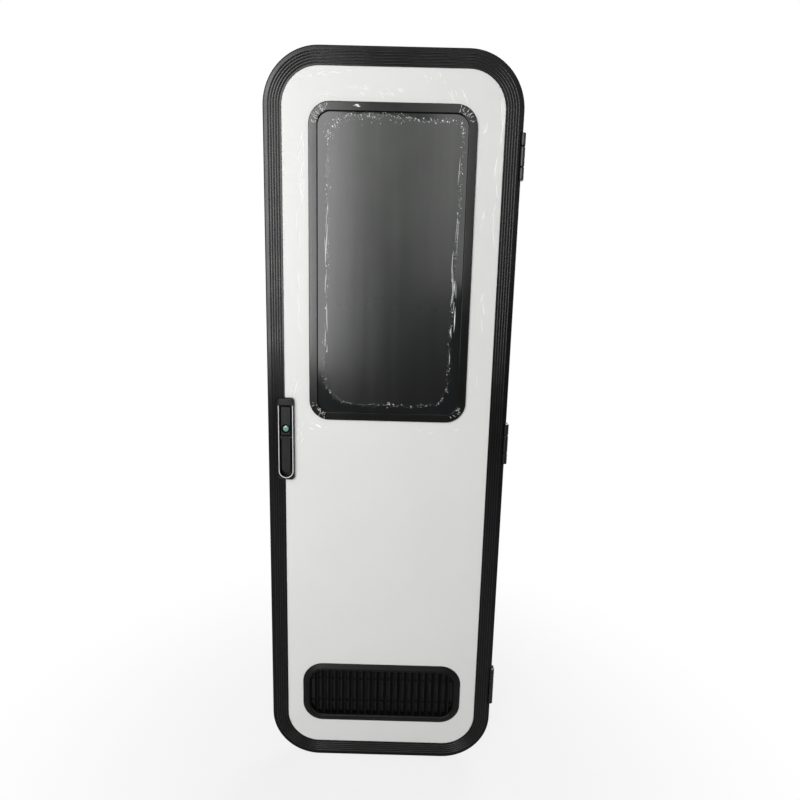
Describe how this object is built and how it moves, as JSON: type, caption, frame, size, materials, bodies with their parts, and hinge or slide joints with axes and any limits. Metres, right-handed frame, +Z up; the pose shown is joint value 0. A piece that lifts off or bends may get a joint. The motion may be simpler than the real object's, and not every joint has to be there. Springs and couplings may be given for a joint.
{
  "type": "caravan entry door",
  "caption": "White caravan entry door with rounded corners, dark ribbed edge, tall tinted window, louvred vent and recessed pull handle, hinged in its wall frame.",
  "frame": {"origin": "middle of the lower edge of the frame flange's back face, which lies on the wall's outside face", "axes": "+X to the right seen from outside (hinge side), +Y into the vehicle, +Z up"},
  "size_m": [0.6065, 0.0706, 1.83],
  "materials": {
    "black_coated_aluminium": "dark powder coat, satin",
    "white_panel_paint": "white gel coat, smooth",
    "insulating_foam": "closed-cell foam",
    "black_gloss_plastic": "glossy black",
    "black_matte_plastic": "fine-grained black",
    "tinted_pane": "dark tinted",
    "black_rubber": "soft black",
    "insect_screen": "fine dark mesh",
    "bright_trim": "polished",
    "steel": "plated",
    "mint_lock_face": "mint-green cap"
  },
  "bodies": {
    "frame": {"door_frame": "black_coated_aluminium", "frame_seal": "black_rubber", "strike_plate": "steel", "hinge_bottom_frame_half": "black_coated_aluminium", "hinge_middle_frame_half": "black_coated_aluminium", "hinge_top_frame_half": "black_coated_aluminium"},
    "leaf": {"leaf_edge_profile": "black_coated_aluminium", "outer_skin": "white_panel_paint", "foam_core": "insulating_foam", "inner_skin": "white_panel_paint", "window_bezel": "black_gloss_plastic", "window_gasket": "black_rubber", "window_pane": "tinted_pane", "window_inner_ring": "black_matte_plastic", "vent_outer_grille": "black_matte_plastic", "vent_insect_screen": "insect_screen", "vent_inner_grille": "black_matte_plastic", "handle_housing": "black_matte_plastic", "handle_trim": "bright_trim", "lock_head": "black_matte_plastic", "paddle_pin": "steel", "latch_case": "steel", "latch_faceplate": "steel", "latch_bolt": "steel", "inside_handle_plate": "black_matte_plastic", "inside_handle_lever": "black_matte_plastic", "hinge_bottom_leaf_half": "black_coated_aluminium", "hinge_middle_leaf_half": "black_coated_aluminium", "hinge_top_leaf_half": "black_coated_aluminium"},
    "paddle": {"pull_paddle": "black_matte_plastic"},
    "lock": {"lock_plug": "mint_lock_face"}
  },
  "joints": [
    {"name": "door_swing", "type": "hinge", "parent": "frame", "child": "leaf", "pos_m": [0.3005, -0.02, 0.915], "axis": [0, 0, 1], "range_deg": [0, 170]},
    {"name": "handle_pull", "type": "hinge", "parent": "leaf", "child": "paddle", "pos_m": [-0.2535, -0.02665, 0.92005], "axis": [-1, 0, 0], "range_deg": [0, 30], "stiffness_Nm_per_rad": 0.4, "springref_deg": -8.59},
    {"name": "key_turn", "type": "hinge", "parent": "leaf", "child": "lock", "pos_m": [-0.2535, -0.024, 0.943], "axis": [0, 1, 0], "range_deg": [0, 90]}
  ]
}
